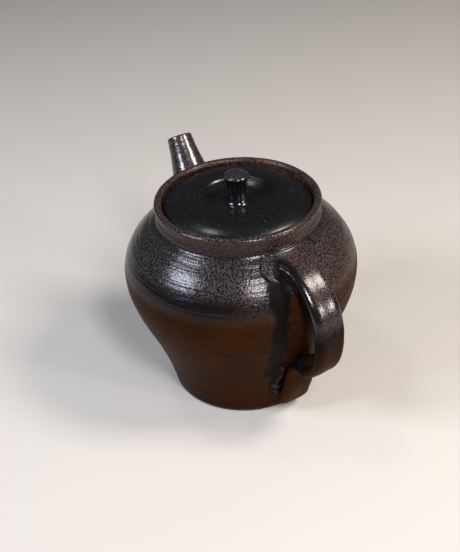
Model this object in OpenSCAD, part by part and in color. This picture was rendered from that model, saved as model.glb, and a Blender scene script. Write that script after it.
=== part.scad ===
// Studio teapot in iron-glazed stoneware: a wheel-thrown round pot with a collar,
// a drop-in lid with a sunken centre and a mushroom knob, a short steep spout on
// the shoulder and a pulled strap handle whose end lies down the wall as a tail.
// Millimetres. +Z is up, the origin is the centre of the foot on the table,
// the handle stands along -X and the spout points along +X.

/* [Pot] */
// Diameter of the pot at its belly
belly_d = 130; // [124:1:136]
// Height of the belly above the table
belly_z = 74; // [70:1:78]
// Diameter of the foot
foot_d = 83.6; // [78:0.2:88]
// Diameter of the collar at its waist
waist_d = 88; // [86:0.5:90]
// Height of the collar's waist
waist_z = 106; // [104:0.5:107]
// Outer diameter of the rim
rim_d = 89.6; // [88.8:0.2:91]
// Height of the rim
rim_z = 115.8; // [115:0.1:117]
// Thickness of the thrown wall
wall = 4.5; // [4:0.1:5]
// Thickness of the rounded rim
rim_wall = 4; // [3.6:0.1:4.4]
// Thickness of the floor
floor_t = 5.5; // [5:0.5:7]

/* [Lid seat] */
// Height of the ledge that the lid rests on
ledge_z = 109.5; // [109:0.1:110]
// Diameter of the throat below the ledge
throat_d = 73; // [72:0.5:74]

/* [Lid] */
// Gap between the lid's edge and the collar
lid_gap = 0.8; // [0.5:0.1:1.2]
// Height of the lid's crest above the table
crest_z = 117.2; // [116.8:0.1:118]
// Radius of the ridge round the sunken centre
ridge_r = 20.4; // [19:0.1:22]
// Height of the sunken centre's floor
well_z = 112.7; // [112.4:0.1:113.4]
// Thickness of the lid at its centre
lid_t = 3.6; // [3.2:0.1:3.9]
// Gap between the locating flange and the throat
flange_gap = 1; // [0.6:0.1:1.5]
// Thickness of the locating flange
flange_t = 3.4; // [2.8:0.1:4]
// Depth of the locating flange below the ledge
flange_h = 8; // [6:0.5:10]
// Diameter of the vent hole
vent_d = 2.6; // [2:0.1:3]
// Distance of the vent hole from the lid's centre
vent_r = 11.5; // [10:0.5:13]
// Bearing of the vent hole, measured from the spout
vent_bearing = -32; // [-60:1:60]

/* [Knob] */
// Height of the top of the knob
knob_z = 129.8; // [127:0.1:132]
// Diameter of the knob's cap
cap_d = 13.2; // [12:0.1:15]
// Diameter of the knob's stem
stem_d = 10.4; // [9.5:0.1:11]

/* [Spout] */
// Bearing of the spout; it was set a little off the line of the handle
spout_yaw = -5.5; // [-8:0.5:0]
// Slope of the spout above level
spout_slope = 56; // [54:0.5:60]
// Distance of the mouth's centre from the pot's axis
tip_r = 70.5; // [70:0.1:72]
// Height of the mouth's centre
tip_z = 121.3; // [120:0.1:123]
// Outer diameter of the mouth
tip_d = 14.4; // [13.6:0.1:15.2]
// Thickness of the spout's wall at the mouth
tip_wall = 2.3; // [2:0.1:2.6]
// Diameter of the hole in the pot's wall behind the spout
port_d = 17; // [15:0.5:18]

/* [Strainer] */
// Outer diameter of the pierced dome
dome_d = 27; // [26:0.5:28]
// Thickness of the pierced dome
dome_t = 2.2; // [2:0.1:2.6]
// Diameter of each strainer hole
pierce_d = 2.4; // [2:0.1:2.6]

/* [Handle] */
// Distance of the strap's middle from the pot's axis at its widest
strap_reach = 78.4; // [77:0.2:80]
// Height at which the strap is widest from the axis
strap_z = 67; // [65:1:70]
// Width of the strap along the grip
strap_w = 17; // [15.4:0.2:18]
// Width of the strap where it fans out on the shoulder
root_w = 22; // [20:0.5:24]
// Thickness of the strap along the grip
strap_t = 5.6; // [5.2:0.1:6]
// Height of the tail's tip above the table
tail_z = 7; // [5:0.5:10]

/* [Hidden] */
$fn = 96;

belly_r = belly_d / 2;
foot_r = foot_d / 2;
waist_r = waist_d / 2;
rim_r = rim_d / 2;
gallery_r = rim_r - rim_wall;
throat_r = throat_d / 2;
lid_r = gallery_r - lid_gap;
flange_r = throat_r - flange_gap;
foot_ring_w = 6;
foot_recess = 4;
curve_steps = 14;      // straight pieces in one curve of the pot's outline

// A point on a cubic curve with four handles
function bezier(p, t) = pow(1 - t, 3) * p[0] + 3 * pow(1 - t, 2) * t * p[1]
    + 3 * (1 - t) * t * t * p[2] + pow(t, 3) * p[3];
// The direction of travel on that curve
function heading(p, t) = let (d = pow(1 - t, 2) * (p[1] - p[0]) + 2 * (1 - t) * t * (p[2] - p[1])
    + t * t * (p[3] - p[2])) d / norm(d);
// The curve's points, without its first
function curve(p, n = curve_steps) = [for (i = [1:n]) bezier(p, i / n)];
// Points on an arc about c from angle a to angle b
function arc(c, r, a, b, n = 8) =
    [for (i = [0:n]) let (turn = a + (b - a) * i / n) c + r * [cos(turn), sin(turn)]];
// A blend from 0 to 1 with level ends
function ease(t) = let (u = min(max(t, 0), 1)) u * u * (3 - 2 * u);

// The pot's outside, from the foot to the belly and from the belly to the waist
foot_lift = 0.8;
outside_low = [[foot_r, foot_lift], [foot_r + 6.9, belly_z / 2],
    [belly_r, belly_z - 20.6], [belly_r, belly_z]];
outside_high = [[belly_r, belly_z], [belly_r, belly_z + 20.6],
    [waist_r - 0.5, waist_z - 2.6], [waist_r, waist_z]];
outside = concat([[foot_r - foot_lift, 0], [foot_r, foot_lift]], curve(outside_low), curve(outside_high));

// The pot's inside, from the throat down to the middle of the floor
floor_z = foot_recess + floor_t;
inside_high = [[throat_r, waist_z - 2.5], [throat_r + 11.5, waist_z - 9],
    [belly_r - wall, belly_z + 17], [belly_r - wall, belly_z]];
inside_low = [[belly_r - wall, belly_z], [belly_r - wall, belly_z - 20.6],
    [foot_r + 2.4, belly_z / 2], [foot_r - 2.8, floor_z + 8]];
inside_foot = [[foot_r - 2.8, floor_z + 8], [foot_r - 4.4, floor_z + 2.5],
    [foot_r - 9, floor_z], [foot_r - 16, floor_z]];
inside = concat([inside_high[0]], curve(inside_high), curve(inside_low), curve(inside_foot, 6),
    [[0, floor_z]]);

// Frame of the spout: local Z runs up the spout and its mouth is at z = 0
spout_len = 32;
module at_spout() {
    rotate([0, 0, spout_yaw]) translate([tip_r, 0, tip_z]) rotate([0, 90 - spout_slope, 0]) children();
}

// Everything inside the pot's outside surface
module pot_bulk() {
    rotate_extrude() polygon(concat(outside, [[0, waist_z], [0, 0]]));
}

// The room inside the pot, up to the throat
module pot_room() {
    rotate_extrude() polygon(concat(inside, [[0, inside_high[0][1]]]));
}

module pot() {
    color([0.13, 0.10, 0.09])
    difference() {
        rotate_extrude() polygon(concat(
            outside,
            arc([rim_r - rim_wall / 2, rim_z - rim_wall / 2], rim_wall / 2, 0, 180),
            [[gallery_r, ledge_z], [throat_r, ledge_z]],
            inside,
            [[0, foot_recess], [foot_r - foot_ring_w - 2, foot_recess], [foot_r - foot_ring_w, 0]]));
        at_spout() translate([0, 0, -spout_len - 12]) cylinder(d = port_d, h = spout_len + 12);
    }
}

// Outer and inner outlines of the spout, from the root up to the mouth
spout_root_r = 17.5;
bore_root_r = 9.6;
spout_side = [[spout_root_r, -spout_len - 6], [11, -spout_len + 7],
    [tip_d / 2 + 0.9, -11], [tip_d / 2, -0.6]];
bore_side = [[tip_d / 2 - tip_wall, 0], [tip_d / 2 - tip_wall + 0.6, -9],
    [7.2, -20], [bore_root_r, -spout_len]];

module spout() {
    color([0.20, 0.15, 0.14])
    difference() {
        at_spout() rotate_extrude() polygon(concat(
            [spout_side[0]], curve(spout_side),
            [[tip_d / 2 - 0.6, 0], bore_side[0]], curve(bore_side, 8),
            [[bore_root_r, -spout_len - 6]]));
        pot_bulk();
    }
}

// The strainer is a dome about a centre on the spout's axis, just inside the wall
dome_r = dome_d / 2;
dome_depth = 34.2;     // from the mouth to the dome's centre
dome_skirt = 25;       // degrees that the dome runs on past its equator, up to the wall
hole_rings = [[0, 1], [4.4, 6], [8.4, 11]]; // radius of each ring and its number of holes

module strainer() {
    color([0.24, 0.17, 0.13])
    intersection() {
        at_spout() translate([0, 0, -dome_depth]) difference() {
            rotate_extrude() polygon(concat(
                arc([0, 0], dome_r, dome_skirt, -90, 9),
                arc([0, 0], dome_r - dome_t, -90, dome_skirt, 9)));
            for (ring = hole_rings) for (k = [1:ring[1]])
                rotate([0, 0, k * 360 / ring[1]]) translate([ring[0], 0, -dome_r - 1])
                    cylinder(d = pierce_d, h = dome_r, $fn = 24);
        }
        pot_room();
    }
}

// Middle line of the strap, as distance from the pot's axis and height
strap_curves = [
    [[46, 99.5], [59, 104.5], [strap_reach + 1, 88.5], [strap_reach, strap_z]],
    [[strap_reach, strap_z], [strap_reach, 52], [strap_reach - 6, 40.5], [64, 40.5]],
    [[64, 40.5], [56.5, 40.5], [54, 36.5], [53.2, 28]],
    [[53.2, 28], [52.6, 21], [49.5, 14], [46.6, tail_z]]];
strap_steps = 16;      // rings along each curve
strap_sides = 24;      // points round the strap
strap_square = 0.62;   // below 1 squares the strap's section

// Width and thickness of the strap at place s along the four curves
function strap_half_w(s) = strap_w / 2 + (root_w - strap_w) / 2 * (1 - ease(s / 0.45))
    + 0.3 * ease((s - 2) / 0.6) - 2 * pow(max(0, (s - 3.7) / 0.3), 3);
function strap_half_t(s) = strap_t / 2 + 0.9 * (1 - ease(s / 0.5)) + 0.5 * ease((s - 2.2) / 0.8)
    - 1.3 * pow(max(0, (s - 3.6) / 0.4), 2);
function squared(v) = sign(v) * pow(abs(v), strap_square);

// One ring of the strap: across is along Y, thickness is along the curve's normal
function strap_ring(s) =
    let (piece = min(floor(s), 3), t = s - piece, p = strap_curves[piece],
        c = bezier(p, t), h = heading(p, t), n = [-h[1], h[0]])
    [for (k = [0:strap_sides - 1]) let (a = 360 * k / strap_sides,
        across = strap_half_w(s) * squared(cos(a)), lift = strap_half_t(s) * squared(sin(a)))
        [-(c[0] + n[0] * lift), across, c[1] + n[1] * lift]];

module strap() {
    rings = 4 * strap_steps;
    points = [for (i = [0:rings]) each strap_ring(i / strap_steps)];
    sides = [for (i = [0:rings - 1]) for (k = [0:strap_sides - 1])
        let (a = i * strap_sides + k, b = i * strap_sides + (k + 1) % strap_sides)
        [a, b, b + strap_sides, a + strap_sides]];
    start = [for (k = [0:strap_sides - 1]) strap_sides - 1 - k];
    finish = [for (k = [0:strap_sides - 1]) rings * strap_sides + k];
    polyhedron(points, concat(sides, [start, finish]), convexity = 6);
}

module handle() {
    color([0.16, 0.11, 0.10])
    difference() {
        strap();
        pot_bulk();
    }
}

// Outlines of the lid's top, from the edge to the centre, and of its hollow underside
lid_brow = [[lid_r, ledge_z + 1.2], [lid_r - 0.6, ledge_z + 4],
    [ridge_r + 11, crest_z], [ridge_r + 4, crest_z]];
lid_well = [[ridge_r - 2.1, crest_z - 1.8], [ridge_r - 5, crest_z - 3.4],
    [14, well_z], [9.5, well_z]];
under_arch = [[flange_r - flange_t - 0.6, ledge_z], [flange_r - flange_t - 4, crest_z - 3.6],
    [ridge_r + 1, crest_z - 3.4], [15.5, well_z - lid_t]];

module lid() {
    color([0.09, 0.09, 0.09])
    difference() {
        rotate_extrude() polygon(concat(
            [[lid_r, ledge_z]], [lid_brow[0]], curve(lid_brow, 10),
            [[ridge_r + 1.2, crest_z - 0.1], [ridge_r, crest_z - 0.35], lid_well[0]], curve(lid_well, 6),
            [[0, well_z], [0, well_z - lid_t], under_arch[3]],
            [for (i = [9:-1:1]) bezier(under_arch, i / 10)],
            [under_arch[0]]));
        rotate([0, 0, vent_bearing]) translate([vent_r, 0, well_z - lid_t - 1])
            cylinder(d = vent_d, h = lid_t + 3, $fn = 24);
    }
}

module lid_flange() {
    color([0.22, 0.16, 0.12])
    rotate_extrude() polygon([
        [flange_r - flange_t, ledge_z], [flange_r - flange_t + 0.4, ledge_z - flange_h + 0.8],
        [flange_r - flange_t + 1.2, ledge_z - flange_h], [flange_r - 1, ledge_z - flange_h],
        [flange_r - 0.2, ledge_z - flange_h + 0.8], [flange_r, ledge_z]]);
}

// Outline of the knob, from its spread base up the stem to the rounded cap
knob_base_r = 7.4;
cap_z = knob_z - 2;
knob_stem = [[knob_base_r, well_z], [stem_d / 2 + 0.2, well_z + 0.6],
    [stem_d / 2 - 0.2, well_z + 3], [stem_d / 2, well_z + 7]];
knob_flare = [[stem_d / 2, well_z + 7], [stem_d / 2 + 0.1, cap_z - 3],
    [cap_d / 2 - 0.6, cap_z - 1.6], [cap_d / 2, cap_z]];
knob_dome = [[cap_d / 2, cap_z], [cap_d / 2, cap_z + 1.2], [cap_d / 4, knob_z], [0, knob_z]];

module knob() {
    color([0.07, 0.07, 0.08])
    rotate_extrude() polygon(concat([[0, well_z], knob_stem[0]],
        curve(knob_stem, 6), curve(knob_flare, 5), curve(knob_dome, 6)));
}

pot();
spout();
strainer();
handle();
lid();
lid_flange();
knob();
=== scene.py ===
import math

import bmesh
import bpy
import numpy as np
from bpy.props import (
    FloatProperty,
    FloatVectorProperty,
    IntProperty,
    PointerProperty,
)
from mathutils import Matrix, Vector


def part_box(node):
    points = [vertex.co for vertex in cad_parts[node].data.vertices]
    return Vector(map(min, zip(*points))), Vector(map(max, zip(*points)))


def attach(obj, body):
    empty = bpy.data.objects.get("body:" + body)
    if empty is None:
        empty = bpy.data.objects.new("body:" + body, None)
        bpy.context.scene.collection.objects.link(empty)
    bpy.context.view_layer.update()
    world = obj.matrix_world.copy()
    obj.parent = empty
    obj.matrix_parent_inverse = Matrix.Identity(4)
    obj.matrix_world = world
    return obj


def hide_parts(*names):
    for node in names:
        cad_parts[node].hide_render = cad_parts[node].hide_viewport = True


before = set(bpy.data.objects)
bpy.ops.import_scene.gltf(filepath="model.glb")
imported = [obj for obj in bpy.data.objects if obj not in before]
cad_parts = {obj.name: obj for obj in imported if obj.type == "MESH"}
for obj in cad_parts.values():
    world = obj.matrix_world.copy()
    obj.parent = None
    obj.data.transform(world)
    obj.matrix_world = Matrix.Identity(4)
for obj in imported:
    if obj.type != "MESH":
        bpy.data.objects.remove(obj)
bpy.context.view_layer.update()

bl_info = {
    "name": "Thrown Teapot",
    "version": (1, 0, 0),
    "blender": (4, 5, 0),
    "location": "3D Viewport > Sidebar > Teapot",
    "description": "Throws, lutes and glazes a stoneware teapot round its packed frame",
    "category": "Add Mesh",
}

MM = 0.001
VESSEL, COVER = "vessel", "lid_set"


# ---------------------------------------------------------------------------
# Sizes that come from the frame
# ---------------------------------------------------------------------------

POT_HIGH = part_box("pot")[1]
LID_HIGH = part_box("lid")[1]
FLANGE_LOW, FLANGE_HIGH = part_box("lid_flange")
KNOB_LOW, KNOB_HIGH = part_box("knob")
STRAP_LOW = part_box("handle")[0]
RIM_Z = POT_HIGH.z
BELLY_R = POT_HIGH.x
LEDGE_Z = FLANGE_HIGH.z
CREST_Z = LID_HIGH.z
LID_R = LID_HIGH.x


# ---------------------------------------------------------------------------
# Properties: what a maker would change
# ---------------------------------------------------------------------------

def length(name, text, default, low=0.0, high=1.0):
    return FloatProperty(name=name, description=text, default=default, min=low, max=high,
                         unit="LENGTH", precision=5)


def angle(name, text, degrees):
    return FloatProperty(name=name, description=text, default=math.radians(degrees), subtype="ANGLE")


def tone(name, text, default):
    return FloatVectorProperty(name=name, description=text, default=default, size=3,
                               min=0.0, max=1.0, subtype="COLOR")


class PotSizes(bpy.types.PropertyGroup):
    """Sizes of the thrown pot"""

    foot_radius: length("Foot radius", "Outer radius of the turned foot", 41.8 * MM)
    belly_height: length("Belly height", "Height of the widest point", 74 * MM)
    waist_radius: length("Waist radius", "Radius where the shoulder turns up into the collar", 44 * MM)
    waist_height: length("Waist height", "Height of the collar's waist", 106 * MM)
    rim_radius: length("Rim radius", "Outer radius of the rounded rim", 44.8 * MM)
    rim_wall: length("Rim wall", "Thickness of the rounded rim", 4 * MM)
    wall: length("Wall", "Thickness of the thrown wall", 4.5 * MM)
    floor: length("Floor", "Height of the floor inside", 9.5 * MM)
    ring_depth: length("Throwing rings", "Depth of the finger rings left by throwing", 0.36 * MM)
    wobble: length("Wobble", "How far the pot strays from a true round", 0.35 * MM)
    around: IntProperty(name="Around", description="Faces round the pot", default=288,
                        min=24, max=512, subtype="UNSIGNED")
    along: IntProperty(name="Along", description="Faces along the pot's outline", default=330,
                       min=40, max=800, subtype="UNSIGNED")


class LidSizes(bpy.types.PropertyGroup):
    """Sizes of the lid, its flange and its knob"""

    ridge_radius: length("Ridge radius", "Radius of the ridge round the sunken centre", 20.4 * MM)
    well_height: length("Well height", "Height of the sunken centre", KNOB_LOW.z)
    thickness: length("Thickness", "Thickness of the lid at its centre", 3.6 * MM)
    flange_wall: length("Flange wall", "Thickness of the locating flange", 3.4 * MM)
    vent_radius: length("Vent radius", "Radius of the vent hole", 1.3 * MM)
    vent_reach: length("Vent reach", "Distance of the vent hole from the knob's axis", 11.5 * MM)
    vent_bearing: angle("Vent bearing", "Bearing of the vent hole from the spout", -32)
    stem_radius: length("Stem radius", "Radius of the knob's stem", 5.2 * MM)
    cap_radius: length("Cap radius", "Radius of the knob's cap", 6.6 * MM)


class SpoutSizes(bpy.types.PropertyGroup):
    """Sizes and place of the spout and its strainer"""

    reach: length("Reach", "Distance of the mouth's centre from the pot's axis", 70.5 * MM)
    height: length("Height", "Height of the mouth's centre", 121.3 * MM)
    slope: angle("Slope", "Slope of the spout above level", 56)
    yaw: angle("Yaw", "How far the spout was set off the line of the handle", -5.5)
    mouth_radius: length("Mouth radius", "Outer radius of the mouth", 7.2 * MM)
    mouth_wall: length("Mouth wall", "Thickness of the clay at the mouth", 2.3 * MM)
    port_radius: length("Port radius", "Radius of the port in the pot's wall", 8.5 * MM)


class HandleSizes(bpy.types.PropertyGroup):
    """Sizes of the pulled strap"""

    strap_width: length("Strap width", "Width of the strap along the grip", 17 * MM)
    root_width: length("Root width", "Width of the strap where it fans out on the shoulder", 22 * MM)
    strap_thickness: length("Strap thickness", "Thickness of the strap along the grip", 5.6 * MM)
    widest_height: length("Widest height", "Height at which the strap stands furthest out", 67 * MM)
    fillet: length("Root fillet", "How far the thumbed clay spreads over the shoulder", 4.5 * MM)
    smear: length("Thumb smear", "How much further the clay was thumbed out on the left", 3.5 * MM)
    lean: length("Lean", "How far the grip leans to the right, seen from outside", 1.1 * MM)
    bead_radius: length("Bead radius", "Radius of the glaze beads by the tail", 2.2 * MM)


class GlazeTones(bpy.types.PropertyGroup):
    """Colours of the iron glaze and the clay"""

    black: tone("Black", "Thick glaze", (0.005, 0.004, 0.004))
    rust: tone("Rust", "Glaze broken thin over edges", (0.098, 0.042, 0.024))
    amber: tone("Amber", "Thin brown glaze of the lower wall", (0.034, 0.0098, 0.0014))
    silver: tone("Silver", "Metallic specks", (0.105, 0.088, 0.088))
    clay: tone("Clay", "Bare fired clay", (0.19, 0.105, 0.062))


class StageSizes(bpy.types.PropertyGroup):
    """Camera, floor and lamps"""

    floor_tone: tone("Floor", "Plain pale floor", (0.60, 0.545, 0.475))
    distance: length("Camera distance", "Distance of the camera from the pot's middle", 549.2 * MM)
    aim_height: length("Aim height", "Height on the axis that the camera circles", 50 * MM)
    bearing: angle("Camera bearing", "Bearing of the camera from the spout", 147.5)
    elevation: angle("Camera elevation", "Camera's angle above level", 35.96)
    pan: angle("Pan", "Turn of the camera away from the axis", -0.676)
    tilt: angle("Tilt", "Lift of the camera above the aim", 1.219)
    roll: angle("Roll", "Roll of the camera", -2.947)
    lens: FloatProperty(name="Lens", description="Focal length in millimetres", default=62.87,
                        min=10, max=300, unit="CAMERA")
    power: FloatProperty(name="Lamp power", description="Scale of every lamp's power", default=1.0,
                         min=0, max=10, subtype="FACTOR")


# ---------------------------------------------------------------------------
# Curves and meshes
# ---------------------------------------------------------------------------

def bezier(p, t):
    p = np.asarray(p, float)
    t = np.asarray(t, float)[..., None]
    return ((1 - t) ** 3 * p[0] + 3 * (1 - t) ** 2 * t * p[1]
            + 3 * (1 - t) * t * t * p[2] + t ** 3 * p[3])


def curve(p, steps):
    """Points along a four-handled curve, without its first"""
    return [tuple(q) for q in bezier(p, np.linspace(0, 1, steps + 1)[1:])]


def arc(centre, radius, start, end, steps=10):
    angles = np.radians(np.linspace(start, end, steps + 1))
    return [(centre[0] + radius * math.cos(a), centre[1] + radius * math.sin(a)) for a in angles]


def ease(t):
    t = np.clip(t, 0, 1)
    return t * t * (3 - 2 * t)


def new_object(name, mesh):
    obj = bpy.data.objects.new(name, mesh)
    bpy.context.scene.collection.objects.link(obj)
    return obj


def dress(mesh, material):
    mesh.materials.clear()
    mesh.materials.append(material)


def smooth(mesh):
    mesh.polygons.foreach_set("use_smooth", [True] * len(mesh.polygons))
    mesh.update()


def outward(mesh, gap=1e-6):
    """Merges doubles and turns a closed shell's faces outwards"""
    bm = bmesh.new()
    bm.from_mesh(mesh)
    bmesh.ops.remove_doubles(bm, verts=bm.verts, dist=gap)
    bmesh.ops.dissolve_degenerate(bm, edges=bm.edges, dist=gap)
    bmesh.ops.recalc_face_normals(bm, faces=bm.faces)
    bm.to_mesh(mesh)
    bm.free()
    smooth(mesh)


def lattice(name, rings, loop=False, caps=True):
    """A closed mesh from rings of points; a loop joins its last ring to its first"""
    rings = np.asarray(rings, float)
    count, sides = rings.shape[:2]
    verts = [tuple(v) for v in rings.reshape(-1, 3)]
    faces = []
    for i in range(count if loop else count - 1):
        a, b = i * sides, (i + 1) % count * sides
        faces += [(a + k, a + (k + 1) % sides, b + (k + 1) % sides, b + k) for k in range(sides)]
    if caps and not loop:
        for base, flip in ((0, True), ((count - 1) * sides, False)):
            middle = len(verts)
            verts.append(tuple(rings[0 if flip else -1].mean(0)))
            faces += [(base + (k + 1) % sides, base + k, middle) if flip
                      else (base + k, base + (k + 1) % sides, middle) for k in range(sides)]
    mesh = bpy.data.meshes.new(name)
    mesh.from_pydata(verts, [], faces)
    outward(mesh)
    return mesh


def boolean(obj, tool_mesh, operation="DIFFERENCE"):
    """Cuts obj with a tool and keeps the result as its mesh"""
    tool = new_object(obj.name + "_tool", tool_mesh)
    cut = obj.modifiers.new("cut", "BOOLEAN")
    cut.operation = operation
    cut.solver = "EXACT"
    cut.object = tool
    bpy.context.view_layer.update()
    result = bpy.data.meshes.new_from_object(obj.evaluated_get(bpy.context.evaluated_depsgraph_get()))
    obj.modifiers.remove(cut)
    obj.data = result
    bpy.data.objects.remove(tool)
    smooth(result)


def drill(name, radius, start, end, sides=48):
    """A round tool from start to end"""
    axis = (Vector(end) - Vector(start))
    turn = axis.to_track_quat("Z", "Y").to_matrix()
    rings = [[tuple(Vector(base) + turn @ Vector((radius * math.cos(a), radius * math.sin(a), 0)))
              for a in np.linspace(0, math.tau, sides, endpoint=False)] for base in (start, end)]
    return lattice(name, rings)


# ---------------------------------------------------------------------------
# Geometry nodes: a form thrown on the wheel from its outline
# ---------------------------------------------------------------------------

class Net:
    """A node tree under construction"""

    def node(self, kind, settings=None, inputs=None):
        """The one way to add a node: its type, its settings, then its sockets' values or links"""
        made = self.tree.nodes.new(kind)
        for key, value in (settings or {}).items():
            setattr(made, key, value)
        for key, value in (inputs or {}).items():
            value = getattr(value, "socket", value)
            if isinstance(value, bpy.types.NodeSocket):
                self.tree.links.new(value, made.inputs[key])
            else:
                made.inputs[key].default_value = value
        return made


class Tree(Net):
    """Builds a geometry node tree step by step"""

    def __init__(self, name):
        self.tree = bpy.data.node_groups.new(name, "GeometryNodeTree")
        self.tree.interface.new_socket("Geometry", in_out="INPUT", socket_type="NodeSocketGeometry")
        self.tree.interface.new_socket("Geometry", in_out="OUTPUT", socket_type="NodeSocketGeometry")
        self.entry = self.tree.nodes.new("NodeGroupInput")
        self.exit = self.tree.nodes.new("NodeGroupOutput")

    def input(self, name, kind, default=None):
        item = self.tree.interface.new_socket(name, in_out="INPUT", socket_type="NodeSocket" + kind)
        if default is not None:
            item.default_value = default
        return self.entry.outputs[name]

    def math(self, operation, *values):
        return self.node("ShaderNodeMath", {"operation": operation}, dict(enumerate(values))).outputs[0]

    def finish(self, geometry):
        self.tree.links.new(geometry, self.exit.inputs[0])
        return self.tree


def thrown_form_tree():
    """Spins an outline into a closed skin, with throwing rings and a slight wobble"""
    t = Tree("Thrown Form")
    around = t.input("Around", "Int", 256)
    along = t.input("Along", "Int", 300)
    depth = t.input("Ring Depth", "Float", 0.0)
    pitch = t.input("Ring Pitch", "Float", 0.0024)
    wobble = t.input("Wobble", "Float", 0.0)
    seed = t.input("Seed", "Float", 0.0)
    low = t.input("Lowest", "Float", 0.0)
    material = t.input("Material", "Material")
    outline = t.node("GeometryNodeMeshToCurve", None, {"Mesh": t.entry.outputs[0]}).outputs[0]
    grid = t.node("GeometryNodeMeshGrid", None,
                  {"Size X": 1.0, "Size Y": 1.0, "Vertices X": along, "Vertices Y": around})
    place = t.node("ShaderNodeSeparateXYZ", None, {0: t.node("GeometryNodeInputPosition").outputs[0]})
    factor = t.math("ADD", place.outputs[0], 0.5)
    angle = t.math("MULTIPLY", t.math("ADD", place.outputs[1], 0.5), math.tau)
    sample = t.node("GeometryNodeSampleCurve", {"mode": "FACTOR", "use_all_curves": True},
                    {"Curves": outline, "Factor": factor})
    point = t.node("ShaderNodeSeparateXYZ", None, {0: sample.outputs["Position"]})
    along_way = t.node("ShaderNodeSeparateXYZ", None, {0: sample.outputs["Tangent"]})
    radius, height = point.outputs[0], point.outputs[2]
    cosine, sine = t.math("COSINE", angle), t.math("SINE", angle)
    spot = t.node("ShaderNodeCombineXYZ", None,
                  {0: t.math("MULTIPLY", radius, cosine), 1: t.math("MULTIPLY", radius, sine), 2: height})
    # throwing rings: noise that is long round the pot and short up the wall, near a spiral
    climb = t.math("ADD", height, t.math("MULTIPLY", place.outputs[1], pitch))
    lines = t.node("ShaderNodeCombineXYZ", None,
                   {0: t.math("MULTIPLY", cosine, 0.35), 1: t.math("MULTIPLY", sine, 0.35),
                    2: t.math("DIVIDE", climb, pitch)})
    rings = t.node("ShaderNodeTexNoise", {"noise_dimensions": "4D"},
                   {"Vector": lines.outputs[0], "W": seed, "Scale": 1.0, "Detail": 2.0, "Roughness": 0.55})
    drift = t.node("ShaderNodeTexNoise", {"noise_dimensions": "4D"},
                   {"Vector": spot.outputs[0], "W": t.math("ADD", seed, 7.3), "Scale": 14.0, "Detail": 1.0})
    # keep the outline's middle axis true, so poles close
    away = t.math("MINIMUM", t.math("MULTIPLY", radius, 250.0), 1.0)
    push = t.math("MULTIPLY", away, t.math(
        "ADD", t.math("MULTIPLY", t.math("SUBTRACT", rings.outputs[0], 0.5), t.math("MULTIPLY", depth, 2.0)),
        t.math("MULTIPLY", t.math("SUBTRACT", drift.outputs[0], 0.5), t.math("MULTIPLY", wobble, 2.0))))
    out_r = t.math("ADD", radius, t.math("MULTIPLY", along_way.outputs[2], push))
    out_z = t.math("MAXIMUM", t.math("SUBTRACT", height, t.math("MULTIPLY", along_way.outputs[0], push)), low)
    final = t.node("ShaderNodeCombineXYZ", None,
                   {0: t.math("MULTIPLY", out_r, cosine), 1: t.math("MULTIPLY", out_r, sine), 2: out_z})
    skin = t.node("GeometryNodeSetPosition", None,
                  {"Geometry": grid.outputs[0], "Position": final.outputs[0]})
    closed = t.node("GeometryNodeMergeByDistance", None, {"Geometry": skin.outputs[0], "Distance": 1e-6})
    real = t.node("GeometryNodeRealizeInstances", None, {0: closed.outputs[0]})
    dressed = t.node("GeometryNodeSetMaterial", None, {"Geometry": real.outputs[0], "Material": material})
    return t.finish(dressed.outputs[0])


def apply_tree(obj, tree, values):
    """Runs a tree on obj with its named inputs and keeps the plain mesh"""
    modifier = obj.modifiers.new(tree.name, "NODES")
    modifier.node_group = tree
    for item in tree.interface.items_tree:
        if item.in_out == "INPUT" and item.name in values:
            modifier[item.identifier] = values[item.name]
    obj.update_tag()
    bpy.context.view_layer.update()
    mesh = bpy.data.meshes.new_from_object(obj.evaluated_get(bpy.context.evaluated_depsgraph_get()))
    obj.modifiers.remove(modifier)
    obj.data = mesh


def throw(name, outline, material, around=256, along=300, ring_depth=0.0, ring_pitch=2.4 * MM,
          wobble=0.0, seed=0.0, closed=False):
    """Spins an outline of (radius, height) points, foot first, into a solid piece"""
    verts = [(r, 0, z) for r, z in outline]
    edges = [(i, i + 1) for i in range(len(verts) - 1)]
    if closed:
        edges.append((len(verts) - 1, 0))
    mesh = bpy.data.meshes.new(name)
    mesh.from_pydata(verts, edges, [])
    obj = new_object(name, mesh)
    tree = bpy.data.node_groups.get("Thrown Form") or thrown_form_tree()
    apply_tree(obj, tree, {
        "Around": around + 1, "Along": along, "Ring Depth": ring_depth, "Ring Pitch": ring_pitch,
        "Wobble": wobble, "Seed": seed, "Material": material})
    dress(obj.data, material)
    obj.data.polygons.foreach_set("material_index", [0] * len(obj.data.polygons))
    outward(obj.data)
    return obj


# ---------------------------------------------------------------------------
# Materials: sums written on sockets
# ---------------------------------------------------------------------------

class Wire:
    """A number on its way through a material; arithmetic on it adds Math nodes"""

    def __init__(self, recipe, socket):
        self.recipe = recipe
        self.socket = socket

    def _math(self, operation, *values):
        return self.recipe.math(operation, *values)

    def __add__(self, other):
        return self._math("ADD", self, other)

    __radd__ = __add__

    def __sub__(self, other):
        return self._math("SUBTRACT", self, other)

    def __rsub__(self, other):
        return self._math("SUBTRACT", other, self)

    def __mul__(self, other):
        return self._math("MULTIPLY", self, other)

    __rmul__ = __mul__

    def __truediv__(self, other):
        return self._math("DIVIDE", self, other)

    def __rtruediv__(self, other):
        return self._math("DIVIDE", other, self)


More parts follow.
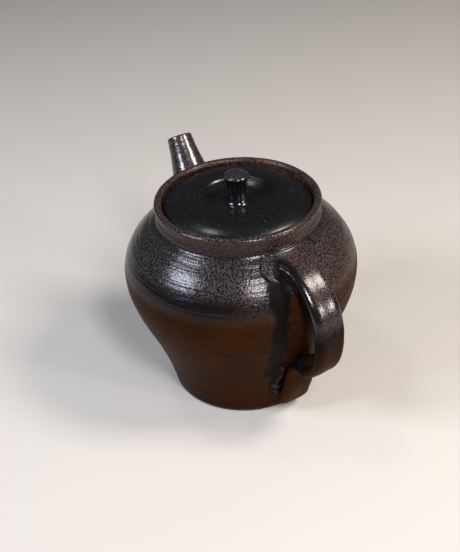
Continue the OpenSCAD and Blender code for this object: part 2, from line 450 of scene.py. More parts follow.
class Recipe(Net):
    """A material's node tree, its shader and its Object coordinates"""

    def __init__(self, name, constants=None):
        self.material = bpy.data.materials.new(name)
        self.material.use_nodes = True
        self.tree = self.material.node_tree
        self.tree.nodes.clear()
        self.shader = self.node("ShaderNodeBsdfPrincipled", None, constants)
        end = self.node("ShaderNodeOutputMaterial", None, {"Surface": self.shader.outputs[0]})
        self.surface = end.inputs["Surface"]
        self.place = self.node("ShaderNodeTexCoord").outputs["Object"]
        x, y, z = self.node("ShaderNodeSeparateXYZ", None, {0: self.place}).outputs
        self.x, self.y, self.z = Wire(self, x), Wire(self, y), Wire(self, z)
        self.radius = self.math("SQRT", self.x * self.x + self.y * self.y)

    def math(self, operation, *values):
        return Wire(self, self.node("ShaderNodeMath", {"operation": operation},
                                    dict(enumerate(values))).outputs[0])

    def rise(self, value, low, high):
        """0 below low, 1 above high, smooth between; falls if high is below low"""
        made = self.node("ShaderNodeMapRange", {"interpolation_type": "SMOOTHSTEP"},
                         {"Value": value, "From Min": low, "From Max": high})
        return Wire(self, made.outputs[0])

    def band(self, value, low, high, soft):
        return self.rise(value, low - soft, low + soft) * self.rise(value, high + soft, high - soft)

    def noise(self, scale, detail=2.0, roughness=0.5, vector=None, distortion=0.0):
        made = self.node("ShaderNodeTexNoise", None, {
            "Vector": vector or self.place, "Scale": scale, "Detail": detail,
            "Roughness": roughness, "Distortion": distortion})
        return Wire(self, made.outputs[0])

    def vector(self, x, y, z):
        return self.node("ShaderNodeCombineXYZ", None, {0: x, 1: y, 2: z}).outputs[0]

    def cells(self, scale):
        made = self.node("ShaderNodeTexVoronoi", None, {"Vector": self.place, "Scale": scale})
        return Wire(self, made.outputs["Distance"])

    def attribute(self, name):
        return Wire(self, self.node("ShaderNodeAttribute", {"attribute_name": name}).outputs["Fac"])

    def mix(self, factor, a, b):
        """A blend of two colours"""
        pad = [(*c, 1.0) if isinstance(c, (tuple, list)) or hasattr(c, "r") else c for c in (a, b)]
        made = self.node("ShaderNodeMix", {"data_type": "RGBA"}, {0: factor, 6: pad[0], 7: pad[1]})
        return made.outputs[2]

    def finish(self, colour, roughness, height=None, relief=0.1 * MM, metallic=None, satin=None):
        links = {"Base Color": colour, "Roughness": roughness}
        if metallic is not None:
            links["Metallic"] = metallic
        if height is not None:
            bump = self.node("ShaderNodeBump", None, {"Strength": 1.0, "Distance": relief, "Height": height})
            links["Normal"] = bump.outputs[0]
        self.wire(self.shader, links)
        if satin is not None:
            dull = self.node("ShaderNodeBsdfPrincipled", None, {
                "IOR": 1.45, "Specular IOR Level": 0.025, "Specular Tint": (1.0, 0.66, 0.42, 1.0)})
            self.wire(dull, {"Base Color": colour, "Roughness": roughness + 0.22, "Normal": links["Normal"]})
            both = self.node("ShaderNodeMixShader", None,
                             {0: satin, 1: self.shader.outputs[0], 2: dull.outputs[0]})
            self.tree.links.new(both.outputs[0], self.surface)
        return self.material

    def wire(self, shader, links):
        for name, value in links.items():
            self.tree.links.new(getattr(value, "socket", value), shader.inputs[name])


def tones():
    glaze = bpy.context.scene.teapot_glaze
    return {name: tuple(getattr(glaze, name)) for name in ("black", "rust", "amber", "silver", "clay")}


def iron_glaze(name, zones, relief=0.17 * MM, shine=0.17, lines=0.5, gloss=0.26):
    """Iron glaze: glossy black where thick, rust where it breaks thin, satin amber where it ran off.
    zones(recipe) gives the shares of rust, amber, specks and thick dull black over the surface; on the pot
    the dull black is painted shadow of the strap, and part of the amber is painted light under the strap."""
    # rust, amber and thick also make the surface satin; specks make it a little metallic
    t = tones()
    r = Recipe(name, {"IOR": 1.6, "Specular IOR Level": gloss})
    rust, amber, specks, thick = zones(r)
    cloud = r.noise(42, 4, 0.6)
    grains = r.noise(1150, 1.5, 0.5)
    dust = r.noise(2300, 2, 0.6)
    blots = r.noise(430, 2, 0.5)
    # thin glaze breaks round the iron grains, so each colour comes in grains
    broken = r.rise(grains * 0.60 + blots * 0.25 + cloud * 0.20, 0.49, 0.60)
    lit = r.rise(grains * 0.65 + dust * 0.35, 0.46, 0.58)
    colour = r.mix(specks * lit, t["black"], t["silver"])
    colour = r.mix(rust * (0.12 + 0.88 * broken), colour, t["rust"])
    # the amber share; on the pot it also holds painted light under the strap
    glaze_run_and_painted_light = amber * (0.62 + 0.38 * r.rise(cloud, 0.35, 0.65))
    colour = r.mix(glaze_run_and_painted_light, colour, t["amber"])
    iron_spots = r.rise(blots * 0.45 + grains * 0.55, 0.45, 0.37)
    colour = r.mix(iron_spots * r.math("MINIMUM", rust + amber * 0.5, 1.0), colour, t["black"])
    # turning and throwing lines too fine for the mesh
    climb = r.z - r.radius * 0.5
    thread = r.noise(1.0, 2, 0.6, r.vector(r.x * 18, r.y * 18, climb * 780))
    height = grains * 0.55 + dust * 0.08 + blots * 0.45 + thread * lines
    rough = shine + 0.14 * (grains - 0.5) + 0.16 * (cloud - 0.5) + rust * 0.12
    metal = lit * specks * 0.6
    satin = r.math("MINIMUM", amber + thick + rust * 0.55, 1.0)
    return r.finish(colour, rough, height, relief, metallic=metal, satin=satin)


def facing(r, bearing):
    """How far a point lies towards a bearing from the pot's axis, from -1 to 1"""
    across = r.x * math.cos(bearing) + r.y * math.sin(bearing)
    return across / (r.radius + 0.0005)


def pot_glaze(name):
    side = math.radians(240)

    def zones(r):
        drift = (r.noise(30, 3, 0.6) - 0.5) * 8 * MM
        behind = r.rise(r.x, -30 * MM, -42 * MM)
        # painted light and shade by the strap: under it the lower wall's amber is carried higher as painted
        # light, and beside it a dark, dull stripe down to the tail is painted shadow of the strap
        grip = r.band(r.y, -11 * MM, 13 * MM, 3 * MM) * behind
        # painted light: under the strap the lower wall's amber is carried 9 mm higher, where the wall under
        # the loop is lit
        z = r.z + drift * 0.5 - grip * 9 * MM
        reach = r.y + drift + (r.noise(85, 3, 0.6) - 0.5) * 9 * MM + r.rise(r.z, 80 * MM, 93 * MM) * 2.5 * MM
        # painted shadow of the strap: a dark, dull stripe from the tail up to the strap's root
        glaze_run_and_painted_light = (r.band(reach, 12.0 * MM, 21.0 * MM, 1.8 * MM) * r.band(r.z + drift, 30 * MM, 97 * MM, 3 * MM)
               * behind * 0.97)
        # everything outside the painted shadow stripe
        outside_painted_shadow = 1.0 - glaze_run_and_painted_light
        collar = r.band(r.z, 107.2 * MM, 113.8 * MM, 1.1 * MM)
        lip = r.rise(r.z, 113.2 * MM, 115.0 * MM)
        # the rim's inner arris is lightened: partly rust where the glaze wore thin, partly a painted
        # highlight along the edge
        wear_and_sheen = r.band(r.radius, 40.4 * MM, 41.6 * MM, 0.5 * MM) * lip
        low = r.rise(z, 86 * MM, 74 * MM) * outside_painted_shadow
        shoulder = r.band(r.z + drift * 0.4, 90 * MM, 104.5 * MM, 3.5 * MM) * outside_painted_shadow
        warm = r.rise(facing(r, side), -0.35, 0.9)
        rust = collar * (0.34 + 0.5 * warm) + shoulder * (0.05 + 0.28 * warm) + lip * 0.30 + wear_and_sheen * 0.7
        rust = rust + r.band(z, 50 * MM, 92 * MM, 6 * MM) * warm * 0.55 * outside_painted_shadow
        flank = r.band(z, 60 * MM, 92 * MM, 6 * MM) * warm * outside_painted_shadow
        specks = shoulder * 0.85 + collar * 0.15 + lip * 0.9 + flank * 0.4
        foot = r.rise(r.z, 4.0 * MM, 0.8 * MM)
        return rust, low * (1.0 - foot * 0.7), specks, glaze_run_and_painted_light

    return iron_glaze(name, zones, lines=1.2)


def spout_glaze(name):
    def zones(r):
        cloud = r.rise(r.noise(60, 3), 0.4, 0.65)
        return 0.16 + 0.22 * cloud, 0.0, 0.95 - 0.2 * cloud, 0.0

    return iron_glaze(name, zones, relief=0.09 * MM, lines=0.9, gloss=0.75)


def handle_glaze(name):
    def zones(r):
        drift = (r.noise(45, 3, 0.6) - 0.5) * 12 * MM
        z = r.z + drift
        # the glaze is thick and black along both edges; the crease of the lower bend is kept black as painted
        # shade
        y = r.y + drift * 0.15
        edges = r.rise(y, 2.4 * MM, 5.8 * MM) + r.rise(y, -4.6 * MM, -7.6 * MM) * r.rise(z, 94 * MM, 84 * MM)
        flat = r.math("MAXIMUM", 1.0 - edges, 0.0)
        root = r.rise(z, 74 * MM, 92 * MM) * flat
        # painted shade: the crease of the lower bend, where the amber is left out so it stays black
        crease = r.band(r.z, 39.5 * MM, 48 * MM, 1.2 * MM) * r.rise(r.x, -69 * MM, -65 * MM)
        low = r.rise(z, 74 * MM, 44 * MM) * (1.0 - crease)
        left = r.rise(r.y, 7 * MM, 9.5 * MM)
        matt = r.math("MAXIMUM", r.rise(z, 81 * MM, 71 * MM), left * r.rise(z, 84 * MM, 90 * MM) * 0.85)
        # painted shade: at the left of the root the clay stays black, carrying the pot's painted shadow
        # stripe up to the root
        thumbed = left * r.rise(r.z, 101 * MM, 97 * MM)
        lip = r.attribute("lip") * r.rise(r.z, 84 * MM, 91 * MM) * (1.0 - thumbed)
        rust = root * 0.42 + flat * 0.2 * (1.0 - low)
        specks = root * 0.7 + flat * 0.03
        return rust * (1.0 - lip) + lip * 0.10, low, specks * (1.0 - lip) + lip * 0.85, matt

    return iron_glaze(name, zones, relief=0.13 * MM, shine=0.14, lines=0.12, gloss=0.42)


def lid_glaze(name, shine=0.26, gloss=0.40, crown=1.0):
    """Smooth satin black with a few fine light specks, and more of them above the height crown, partly real
    speckle and partly painted sheen on the knob's top
    """
    t = tones()
    r = Recipe(name, {"IOR": 1.55, "Specular IOR Level": gloss})
    cloud = r.noise(60, 3, 0.6)
    fine = r.noise(1500, 2, 0.6)
    specks = r.rise(r.noise(900, 2, 0.5), 0.66, 0.74)
    edge = r.rise(r.radius, 37.5 * MM, 39.6 * MM)
    thread = r.noise(1.0, 2, 0.6, r.vector(r.x * 20, r.y * 20, r.radius * 900))
    green = (0.0035, 0.0048, 0.0052)
    colour = r.mix(r.rise(cloud, 0.35, 0.7), t["black"], green)
    # above the crown, the knob's cap top: light specks, partly real speckle and partly painted sheen where
    # the top catches the light
    wear_and_sheen = r.rise(r.z, crown, crown + 0.5 * MM) * r.rise(fine, 0.42, 0.58)
    colour = r.mix(r.math("MAXIMUM", specks * 0.5, wear_and_sheen * 0.32), colour, t["silver"])
    colour = r.mix(edge * r.rise(fine, 0.45, 0.6) * 0.5, colour, t["rust"])
    rough = shine + 0.14 * (cloud - 0.5) + 0.12 * (fine - 0.5)
    return r.finish(colour, rough, fine * 0.5 + specks * 0.4 + thread * 0.35, 0.05 * MM)


def knob_glaze(name):
    # crown marks the cap's top, whose light specks are partly painted sheen
    return lid_glaze(name, shine=0.15, gloss=0.5, crown=KNOB_HIGH.z - 1.9 * MM)


def bead_glaze(name):
    """Glaze that pooled thick and glassy"""
    r = Recipe(name, {"IOR": 1.5, "Specular IOR Level": 0.05})
    t = tones()
    cloud = r.noise(300, 3)
    colour = r.mix(r.rise(cloud, 0.4, 0.7) * 0.6, t["black"], (0.008, 0.006, 0.006))
    return r.finish(colour, 0.04 + 0.06 * cloud, cloud, 0.02 * MM)


def inner_glaze(name):
    def zones(r):
        cloud = r.noise(50)
        return 0.25 + 0.2 * cloud, 0.5 + 0.2 * cloud, 0.2 * cloud, 0.0

    return iron_glaze(name, zones, relief=0.10 * MM, shine=0.34, lines=0.3)


def bare_stoneware(name):
    """Unglazed fired clay with grog and iron spots"""
    t = tones()
    r = Recipe(name, {"IOR": 1.45})
    cloud = r.noise(70, 4, 0.6)
    grog = r.cells(520)
    sand = r.noise(1800, 3, 0.7)
    colour = r.mix(r.rise(cloud, 0.3, 0.7), t["clay"], tuple(c * 0.6 for c in t["clay"]))
    colour = r.mix(r.rise(grog, 0.22, 0.10) * 0.6, colour, t["black"])
    return r.finish(colour, 0.72 + 0.2 * (sand - 0.5), sand * 0.6 + grog * 0.5, 0.10 * MM)


def fired(make):
    """The material made by that function, made once"""
    name = make.__name__
    return bpy.data.materials.get("fired_" + name) or make("fired_" + name)


# ---------------------------------------------------------------------------
# Outlines, in metres, foot first and up the outside
# ---------------------------------------------------------------------------

def outer_wall(s):
    """The pot's outside from the foot's edge to the waist"""
    belly = BELLY_R - s.wobble - s.ring_depth
    bend = 20.6 * MM
    low = [(s.foot_radius, 0.8 * MM), (s.foot_radius + 6.9 * MM, s.belly_height / 2),
           (belly, s.belly_height - bend), (belly, s.belly_height)]
    high = [(belly, s.belly_height), (belly, s.belly_height + bend),
            (s.waist_radius - 0.5 * MM, s.waist_height - 2.6 * MM), (s.waist_radius, s.waist_height)]
    return [low[0]] + curve(low, 60) + curve(high, 60)


def pot_outline(s):
    lip = s.rim_wall / 2
    throat = FLANGE_HIGH.x + 1 * MM
    belly = BELLY_R - s.wall - s.wobble
    high = [(throat, s.waist_height - 2.5 * MM), (throat + 11.5 * MM, s.waist_height - 9 * MM),
            (belly, s.belly_height + 17 * MM), (belly, s.belly_height)]
    low = [(belly, s.belly_height), (belly, s.belly_height - 20.6 * MM),
           (s.foot_radius + 2.4 * MM, s.belly_height / 2), (s.foot_radius - 2.8 * MM, s.floor + 8 * MM)]
    bowl = [low[3], (s.foot_radius - 4.4 * MM, s.floor + 2.5 * MM),
            (s.foot_radius - 9 * MM, s.floor), (s.foot_radius - 16 * MM, s.floor)]
    ring = s.foot_radius - 6 * MM
    recess = 4 * MM
    turned_foot = [(0, recess), (ring - 2.4 * MM, recess), (ring - 1.8 * MM, recess - 0.5 * MM),
                   (ring - 0.4 * MM, 0.4 * MM), (ring, 0), (s.foot_radius - 0.8 * MM, 0)]
    collar = [(s.waist_radius + 0.1 * MM, s.waist_height + 3 * MM)]
    rim = arc((s.rim_radius - lip, RIM_Z - lip), lip, 0, 180, 14)
    seat = [(s.rim_radius - s.rim_wall, LEDGE_Z + 0.4 * MM),
            (s.rim_radius - s.rim_wall - 0.4 * MM, LEDGE_Z), (throat + 0.4 * MM, LEDGE_Z),
            (throat, LEDGE_Z - 0.4 * MM)]
    return (turned_foot + outer_wall(s) + collar + rim + seat + [high[0]]
            + curve(high, 50) + curve(low, 50) + curve(bowl, 14) + [(0, s.floor)])


def wall_radius(s):
    """The pot's outside radius and its slope at a height"""
    wall = np.array(outer_wall(s) + [(s.rim_radius, RIM_Z)])
    slope = np.gradient(wall[:, 0], wall[:, 1])

    def at(z):
        return np.interp(z, wall[:, 1], wall[:, 0]), np.interp(z, wall[:, 1], slope)

    return at


def off_wall(points, s):
    """Signed distance of points from the pot's outside, and the outward direction there"""
    radius, slope = wall_radius(s)(points[:, 2])
    plan = np.hypot(points[:, 0], points[:, 1])
    lean = 1 / np.sqrt(1 + slope ** 2)
    normal = np.stack([points[:, 0] / plan * lean, points[:, 1] / plan * lean, -slope * lean], 1)
    return (plan - radius) * lean, normal


def lute(mesh, s, reach, part, deepest=3.2 * MM):
    """Blends a piece into the pot with a round fillet of that reach (one value or one for each
    vertex). part picks the vertices to move; what is buried stays within the pot's wall. The
    attribute "lip" is 1 where the piece runs out on the wall and 0 above the fillet."""
    count = len(mesh.vertices)
    co, facing_out = np.empty(count * 3), np.empty(count * 3)
    mesh.vertices.foreach_get("co", co)
    mesh.vertex_normals.foreach_get("vector", facing_out)
    co, facing_out = co.reshape(-1, 3), facing_out.reshape(-1, 3)
    distance, normal = off_wall(co, s)
    reach = np.broadcast_to(reach(co) if callable(reach) else reach, count)
    near = part(co) & (distance < reach)
    across = (facing_out * normal).sum(1)
    away = facing_out - across[:, None] * normal
    lean = np.linalg.norm(away, axis=1)
    away /= np.maximum(lean, 1e-6)[:, None]
    turn = np.clip((reach - distance) / (2 * reach), 0, 1) * math.pi / 2
    lift = np.where(distance < -reach, 4 * (distance + reach), reach * (1 - np.sin(turn)))
    spread = reach * (1 - np.cos(turn))
    rise = np.maximum(lift, -deepest) - distance
    slide = np.clip((lift - distance) * across, -reach, reach)
    spread = np.clip((spread - slide) / np.maximum(lean, 0.45), 0, 1.3 * reach)
    co += (normal * rise[:, None] + away * spread[:, None]) * near[:, None]
    mesh.vertices.foreach_set("co", co.ravel())
    lip = mesh.attributes.new("lip", "FLOAT", "POINT")
    lip.data.foreach_set("value", near * (1 - ease(lift / (0.45 * reach))))
    mesh.update()


# ---------------------------------------------------------------------------
# Pieces
# ---------------------------------------------------------------------------

def spout_place(s):
    """Local Z runs up the spout and the mouth's centre is the origin"""
    return (Matrix.Rotation(s.yaw, 4, "Z") @ Matrix.Translation((s.reach, 0, s.height))
            @ Matrix.Rotation(math.pi / 2 - s.slope, 4, "Y"))


def keep(obj, body, slot, *nodes):
    """Sets a finished piece on its body and hides the nodes it stands for; slot, its finish, is not used"""
    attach(obj, body)
    if nodes:
        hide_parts(*nodes)


class TEAPOT_OT_pot(bpy.types.Operator):
    """Throw the pot, with its foot, collar and lid seat, and cut the port for the spout"""

    bl_idname = "teapot.pot"
    bl_label = "Throw the Pot"

    def execute(self, context):
        s, p = context.scene.teapot_pot, context.scene.teapot_spout
        obj = throw("thrown_pot", pot_outline(s), fired(pot_glaze), s.around, s.along,
                    s.ring_depth, 2.6 * MM, s.wobble, seed=3.0)
        place = spout_place(p)
        boolean(obj, drill("port", p.port_radius, place @ Vector((0, 0, -44 * MM)),
                           place @ Vector((0, 0, -18 * MM))))
        keep(obj, VESSEL, "pot_glaze", "pot")
        return {"FINISHED"}


class TEAPOT_OT_spout(bpy.types.Operator):
    """Throw the spout and lute it to the shoulder over the port"""

    bl_idname = "teapot.spout"
    bl_label = "Lute the Spout"

    def execute(self, context):
        s, pot = context.scene.teapot_spout, context.scene.teapot_pot
        sunk, mouth, bore = 33 * MM, s.mouth_radius, s.mouth_radius - s.mouth_wall
        side = [(13.6 * MM, 0), (10.6 * MM, 9 * MM), (mouth + 0.9 * MM, sunk - 12 * MM),
                (mouth, sunk - 1 * MM)]
        hollow = [(bore, sunk - 1 * MM), (bore + 0.6 * MM, sunk - 10 * MM),
                  (7.4 * MM, 9 * MM), (s.port_radius + 0.4 * MM, 0)]
        lip = s.mouth_wall / 2
        outline = ([side[0]] + curve(side, 40) + arc((mouth - lip, sunk - 1 * MM), lip, 0, 180, 8)[1:]
                   + curve(hollow, 30))
        obj = throw("thrown_spout", outline, fired(spout_glaze), 128, 260,
                    0.12 * MM, 2.2 * MM, 0.25 * MM, seed=9.0, closed=True)
        place = spout_place(s)
        obj.data.transform(place @ Matrix.Translation((0, 0, -sunk)))
        inverse = place.inverted()

        def local(co):
            return co @ np.array(inverse.to_3x3()).T + np.array(inverse.translation)

        def outer_skin(co):
            spot = local(co)
            return np.hypot(spot[:, 0], spot[:, 1]) > bore + 1.1 * MM - 0.10 * spot[:, 2]

        def fillet(co):
            """Small underneath, where the spout runs nearly along the wall"""
            return 4.5 * MM - 3.4 * MM * ease(local(co)[:, 0] / (12 * MM))
        lute(obj.data, pot, fillet, outer_skin)
        outward(obj.data)
        keep(obj, VESSEL, "spout_glaze", "spout")
        return {"FINISHED"}


class TEAPOT_OT_handle(bpy.types.Operator):
    """Pull the strap, thumb its root on the shoulder and lay its tail down the wall"""

    bl_idname = "teapot.handle"
    bl_label = "Pull the Handle"

    def execute(self, context):
        s, pot = context.scene.teapot_handle, context.scene.teapot_pot
        half = s.strap_thickness / 2
        reach = -STRAP_LOW.x - half - 0.35 * MM
        tail_end = (46.8 * MM, STRAP_LOW.z + 1.5 * MM)
        bends = [
            [(44 * MM, 98.3 * MM), (58.5 * MM, 104.6 * MM), (reach + 1 * MM, 88.5 * MM),
             (reach, s.widest_height)],
            [(reach, s.widest_height), (reach, 52 * MM), (reach - 6 * MM, 40.5 * MM), (64 * MM, 40.5 * MM)],
            [(64 * MM, 40.5 * MM), (56.5 * MM, 40.5 * MM), (54 * MM, 36.5 * MM), (53.2 * MM, 28 * MM)],
            [(53.2 * MM, 28 * MM), (52.6 * MM, 21 * MM), (49.5 * MM, 14 * MM), tail_end]]
        sides, steps = 88, (110, 60, 40, 60)
        line = np.array([bends[0][0]] + [q for bend, n in zip(bends, steps) for q in curve(bend, n)])
        # how far along the strap each ring is: 0 at the root, 1 more at each bend's end, 4 at the tip
        along = np.concatenate([[0], *[i + np.arange(1, n + 1) / n for i, n in enumerate(steps)]])
        way = np.gradient(line, axis=0)
        way /= np.linalg.norm(way, axis=1)[:, None]
        normal = np.stack([-way[:, 1], way[:, 0]], 1)
        wide = (s.strap_width / 2 + (s.root_width - s.strap_width) / 2 * (1 - ease(along / 0.45))
                + 0.4 * MM * ease(along - 0.4) + 0.5 * MM * ease((along - 2) / 0.6))
        thick = half + 0.9 * MM * (1 - ease(along / 0.5)) + 0.5 * MM * ease((along - 2.2) / 0.8)
        # the last stretch rounds off
        ends = np.clip((along - 3.86) / 0.14, 0, 0.999)
        wide = wide * (0.84 + 0.16 * np.sqrt(1 - ends ** 2))
        thick = thick * (0.18 + 0.82 * np.sqrt(1 - ends ** 2))
        turn = np.linspace(0, math.tau, sides, endpoint=False)
        # a soft-cornered section, with a shallow finger groove pulled along its outer face
        u = np.sign(np.cos(turn)) * np.abs(np.cos(turn)) ** 0.62
        v = np.sign(np.sin(turn)) * np.abs(np.sin(turn)) ** 0.74
        pulled = 0.28 * MM * np.exp(-((u + 0.22) / 0.32) ** 2) * np.maximum(v, 0)
        rings = []
        for i, (c, n) in enumerate(zip(line, normal)):
            grip = float(ease(along[i] / 0.6) * ease((3.9 - along[i]) / 0.4))
            lift = thick[i] * v - pulled * grip
            bow = float(ease(along[i]) * ease((3.6 - along[i]) / 1.6))
            sway = 0.35 * MM * math.sin(along[i] * 2.1) * grip - s.lean * bow
            rings.append(np.stack([-(c[0] + n[0] * lift), wide[i] * u + sway, c[1] + n[1] * lift], 1))
        mesh = lattice("pulled_strap", rings)

        def fan(co):
            """The fillet is widest beside and under the root and small along the tail"""
            aside = np.clip(np.abs(co[:, 1]) / s.root_width * 2, 0, 1)
            root = s.fillet * (0.55 + 0.45 * np.maximum(aside, ease((98 * MM - co[:, 2]) / (6 * MM))))
            root = root + s.smear * ease(co[:, 1] / (6 * MM)) * ease((99 * MM - co[:, 2]) / (5 * MM))
            return 1.1 * MM + (root - 1.1 * MM) * ease((co[:, 2] - 68 * MM) / (14 * MM))
        lute(mesh, pot, fan, lambda co: co[:, 2] > 0)
        obj = new_object("pulled_strap", mesh)
        dress(mesh, fired(handle_glaze))
        keep(obj, VESSEL, "handle_glaze", "handle")
        return {"FINISHED"}


class TEAPOT_OT_beads(bpy.types.Operator):
    """Let the glaze pool and bead in the crease beside the tail"""

    bl_idname = "teapot.beads"
    bl_label = "Pool the Glaze"

    def execute(self, context):
        s, pot = context.scene.teapot_handle, context.scene.teapot_pot
        size = s.bead_radius
        crease = s.strap_width / 2
        at = wall_radius(pot)
        # each drop: how far beside the tail and how high in millimetres, and its share of the size
        drops = [(2.6, 40, 0.7), (1.9, 36.5, 0.85), (2.9, 33, 0.9), (1.2, 31, 0.95), (3.5, 29, 0.9),
                 (1.7, 26.5, 1.05), (4.3, 25, 0.8), (2.8, 22.5, 1.05), (0.8, 21.5, 0.9), (3.4, 18.6, 0.8),
                 (1.3, 17, 0.95), (0.6, 13.5, 0.7)]
        spots = np.array([(crease + aside * MM, height * MM, scale * size) for aside, height, scale in drops])
        across = np.linspace(crease - 3 * MM, crease + 9.5 * MM, 90)
        rings = []
        for z in np.linspace(7 * MM, 44 * MM, 240):
            beside = (across[:, None] - spots[:, 0]) / spots[:, 2]
            above = (z - spots[:, 1]) / (1.3 * spots[:, 2])
            level = np.exp(-(beside ** 2 + above ** 2)).sum(1) - 0.45
            swell = np.where(level > 0, 0.95 * size * np.sqrt(np.abs(level)), 4 * MM * level)
            swell += 1.0 * MM * np.exp(-np.maximum(across - crease, 0) / (1.2 * MM)) * (level > 0)
            radius, slope = at(z)
            foot = np.stack([-np.sqrt(radius ** 2 - across ** 2), across, np.full(len(across), z)], 1)
            lean = 1 / math.sqrt(1 + slope ** 2)
            out = np.stack([foot[:, 0] / radius * lean, across / radius * lean,
                            np.full(len(across), -slope * lean)], 1)
            front = foot + out * np.maximum(swell, -0.9 * MM)[:, None]
            back = foot - out * 1.6 * MM
            rings.append(np.concatenate([front, back[::-1]]))
        obj = new_object("glaze_pool", lattice("glaze_pool", rings))
        dress(obj.data, fired(bead_glaze))
        keep(obj, VESSEL, "handle_glaze")
        return {"FINISHED"}


class TEAPOT_OT_strainer(bpy.types.Operator):
    """Glaze the pierced dome behind the spout"""

    bl_idname = "teapot.strainer"
    bl_label = "Glaze the Strainer"

    def execute(self, context):
        dress(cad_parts["strainer"].data, fired(inner_glaze))
        return {"FINISHED"}


class TEAPOT_OT_lid(bpy.types.Operator):
    """Throw the lid and its locating flange, and pierce the vent hole"""

    bl_idname = "teapot.lid"
    bl_label = "Throw the Lid"

    def execute(self, context):
        s = context.scene.teapot_lid
        inner = FLANGE_HIGH.x - s.flange_wall
        ridge = s.ridge_radius
        under = [(ridge - 4.9 * MM, s.well_height - s.thickness), (ridge + 1 * MM, CREST_Z - 3.4 * MM),
                 (inner - 3.4 * MM, CREST_Z - 3.6 * MM), (inner - 0.6 * MM, LEDGE_Z)]
        brow = [(LID_R - 0.1 * MM, LEDGE_Z + 1.2 * MM), (LID_R - 0.6 * MM, LEDGE_Z + 4.0 * MM),
                (ridge + 11 * MM, CREST_Z - 0.1 * MM), (ridge + 4 * MM, CREST_Z - 0.1 * MM)]
        well = [(ridge - 2.1 * MM, CREST_Z - 1.8 * MM), (ridge - 5 * MM, CREST_Z - 3.4 * MM),
                (14 * MM, s.well_height), (9.5 * MM, s.well_height)]
        ridge_line = curve([brow[3], (ridge + 1.5 * MM, CREST_Z - 0.1 * MM),
                            (ridge + 0.2 * MM, CREST_Z - 0.1 * MM),
                            (ridge - 0.6 * MM, CREST_Z - 0.75 * MM)], 10)
        step = curve([ridge_line[-1], (ridge - 1.3 * MM, CREST_Z - 1.3 * MM),
                      (ridge - 1.5 * MM, CREST_Z - 1.75 * MM), well[0]], 6)
        outline = ([(0, s.well_height - s.thickness), under[0]] + curve(under, 20)
                   + [(LID_R - 0.6 * MM, LEDGE_Z), (LID_R - 0.1 * MM, LEDGE_Z + 0.5 * MM), brow[0]]
                   + curve(brow, 40) + ridge_line + step + curve(well, 20) + [(0, s.well_height)])
        obj = throw("thrown_lid", outline, fired(lid_glaze), 224, 230,
                    0.07 * MM, 2.0 * MM, 0.15 * MM, seed=5.0)
        bearing = s.vent_bearing
        spot = Vector((math.cos(bearing), math.sin(bearing), 0)) * s.vent_reach
        boolean(obj, drill("vent", s.vent_radius, spot + Vector((0, 0, s.well_height - 8 * MM)),
                           spot + Vector((0, 0, s.well_height + 4 * MM)), 32))
        keep(obj, COVER, "lid_glaze", "lid")
        root, drop = LEDGE_Z, FLANGE_LOW.z
        outer = FLANGE_HIGH.x
        ring = [(inner, root), (inner + 0.3 * MM, drop + 1.2 * MM), (inner + 1.1 * MM, drop + 0.1 * MM),
                (outer - 1.2 * MM, drop + 0.1 * MM), (outer - 0.3 * MM, drop + 1.0 * MM), (outer, root)]
        flange = throw("thrown_flange", ring, fired(bare_stoneware), 192, 90,
                       0.06 * MM, 2.0 * MM, 0.0, seed=6.0, closed=True)
        keep(flange, COVER, "bare_stoneware", "lid_flange")
        return {"FINISHED"}


class TEAPOT_OT_knob(bpy.types.Operator):
    """Throw the mushroom knob in the sunken centre of the lid"""

    bl_idname = "teapot.knob"
    bl_label = "Throw the Knob"

    def execute(self, context):
        s = context.scene.teapot_lid
        base, top = s.well_height - 0.4 * MM, KNOB_HIGH.z
        cap = top - 2 * MM
        stem = s.stem_radius
        foot = [(8.6 * MM, base), (7.0 * MM, base + 0.5 * MM), (stem - 0.2 * MM, base + 1.2 * MM),
                (stem - 0.1 * MM, base + 5.2 * MM)]
        shaft = [foot[3], (stem, base + 8 * MM), (stem + 0.1 * MM, cap - 4 * MM), (s.cap_radius, cap)]
        crown = [shaft[3], (s.cap_radius + 0.2 * MM, cap + 0.9 * MM),
                 (s.cap_radius - 1.2 * MM, top - 0.35 * MM), (3 * MM, top - 0.25 * MM)]
        nub = curve([crown[3], (2.2 * MM, top - 0.2 * MM), (1.6 * MM, top - 0.05 * MM),
                     (0, top - 0.05 * MM)], 8)
        outline = [(0, base), foot[0]] + curve(foot, 20) + curve(shaft, 24) + curve(crown, 16) + nub
        obj = throw("thrown_knob", outline, fired(knob_glaze), 96, 130,
                    0.06 * MM, 1.8 * MM, 0.25 * MM, seed=8.0)
        keep(obj, COVER, "knob_glaze", "knob")
        return {"FINISHED"}


# ---------------------------------------------------------------------------
# Stage
# ---------------------------------------------------------------------------

def direction(bearing, elevation):
    """The way from the pot to something at that bearing and elevation"""
    flat = math.cos(elevation)
    return Vector((math.cos(bearing) * flat, math.sin(bearing) * flat, math.sin(elevation)))


def lamp(name, bearing, elevation, distance, width, power, colour, shape):
    """A soft area lamp at a bearing and elevation, aimed at the pot; shape is height over width"""
    data = bpy.data.lights.new(name, "AREA")
    data.shape = "RECTANGLE"
    data.size, data.size_y = width, width * shape
    data.energy = power
    data.color = colour
    obj = bpy.data.objects.new(name, data)
    bpy.context.scene.collection.objects.link(obj)
    aim = Vector((0, 0, 70 * MM))
    back = direction(math.radians(bearing), math.radians(elevation))
    obj.location = aim + back * distance
    obj.rotation_mode = "QUATERNION"
    obj.rotation_quaternion = back.to_track_quat("Z", "Y")


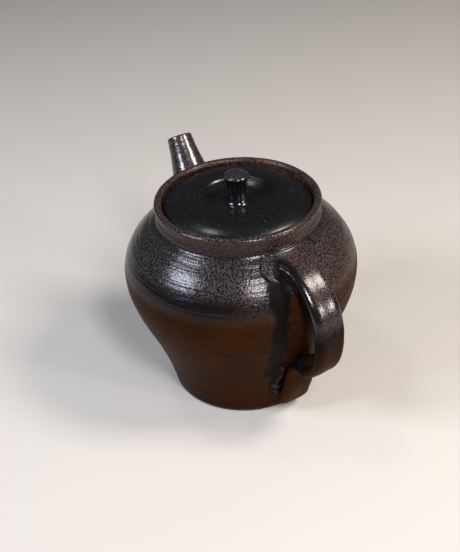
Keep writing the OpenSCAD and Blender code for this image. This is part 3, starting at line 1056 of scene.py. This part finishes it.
class TEAPOT_OT_stage(bpy.types.Operator):
    """Lay the floor, set the lamps and place the camera"""

    bl_idname = "teapot.stage"
    bl_label = "Set the Stage"

    def execute(self, context):
        s, scene = context.scene.teapot_stage, context.scene
        reach = 3.0
        mesh = bpy.data.meshes.new("floor")
        mesh.from_pydata([(-reach, -reach, 0), (reach, -reach, 0), (reach, reach, 0), (-reach, reach, 0)],
                         [], [(0, 1, 2, 3)])
        floor = new_object("floor", mesh)
        r = Recipe("floor_paper", {"IOR": 1.4})
        soft = r.noise(9, 3)
        tint = tuple(s.floor_tone)
        shaded = tuple(c * 0.97 for c in tint)
        r.finish(r.mix(soft, tint, shaded), 0.62 + 0.1 * soft, r.noise(500, 3), 0.05 * MM)
        dress(mesh, r.material)

        world = bpy.data.worlds.new("room")
        world.use_nodes = True
        ground = world.node_tree.nodes["Background"]
        ground.inputs[0].default_value = (0.85, 0.90, 1.0, 1.0)
        ground.inputs[1].default_value = 0.07
        scene.world = world
        # each lamp: name, bearing, elevation, distance, width, power, colour, height over width
        for name, bearing, elevation, distance, width, power, colour, shape in (
                ("key_softbox", 226, 50, 1.0, 0.25, 7.0, (1.0, 0.96, 0.90), 1.0),
                ("left_softbox", 78, 38, 1.0, 0.36, 7.0, (0.82, 0.92, 1.14), 0.62),
                ("front_softbox", 167, 43, 1.0, 0.15, 6.4, (0.95, 0.97, 1.05), 2.2),
                ("low_strip", 206, 15, 0.9, 0.10, 2.6, (0.97, 0.98, 1.0), 1.0),
                ("back_softbox", 34, 69, 1.0, 0.12, 0.9, (0.93, 0.96, 1.0), 1.0)):
            lamp(name, bearing, elevation, distance, width, power * s.power, colour, shape)
        scene.view_settings.view_transform = "Standard"

        data = bpy.data.cameras.new("camera")
        data.lens = s.lens
        data.clip_start, data.clip_end = 0.01, 20
        camera = bpy.data.objects.new("camera", data)
        scene.collection.objects.link(camera)
        back = direction(s.bearing, s.elevation)
        place = Matrix.Translation(Vector((0, 0, s.aim_height)) + back * s.distance)
        place = place @ back.to_track_quat("Z", "Y").to_matrix().to_4x4()
        for turn, axis in ((-s.pan, "Y"), (s.tilt, "X"), (s.roll, "Z")):
            place = place @ Matrix.Rotation(turn, 4, axis)
        camera.matrix_world = place
        scene.camera = camera
        return {"FINISHED"}


OPERATORS = (TEAPOT_OT_stage, TEAPOT_OT_pot, TEAPOT_OT_spout, TEAPOT_OT_handle, TEAPOT_OT_beads,
             TEAPOT_OT_strainer, TEAPOT_OT_lid, TEAPOT_OT_knob)
GROUPS = {"teapot_pot": PotSizes, "teapot_lid": LidSizes, "teapot_spout": SpoutSizes,
          "teapot_handle": HandleSizes, "teapot_glaze": GlazeTones, "teapot_stage": StageSizes}


class TEAPOT_PT_bench(bpy.types.Panel):
    """Lists the steps in the order they are made"""

    bl_idname = "TEAPOT_PT_bench"
    bl_label = "Thrown Teapot"
    bl_space_type = "VIEW_3D"
    bl_region_type = "UI"
    bl_category = "Teapot"

    def draw(self, context):
        for operator in OPERATORS:
            self.layout.operator(operator.bl_idname)


def register():
    for cls in (*GROUPS.values(), *OPERATORS, TEAPOT_PT_bench):
        bpy.utils.register_class(cls)
    for name, group in GROUPS.items():
        setattr(bpy.types.Scene, name, PointerProperty(type=group))


def unregister():
    for name in GROUPS:
        delattr(bpy.types.Scene, name)
    for cls in (TEAPOT_PT_bench, *reversed(OPERATORS), *GROUPS.values()):
        bpy.utils.unregister_class(cls)


def main():
    register()
    for operator in OPERATORS:
        family, step = operator.bl_idname.split(".")
        getattr(getattr(bpy.ops, family), step)()


if __name__ == "__main__":
    main()
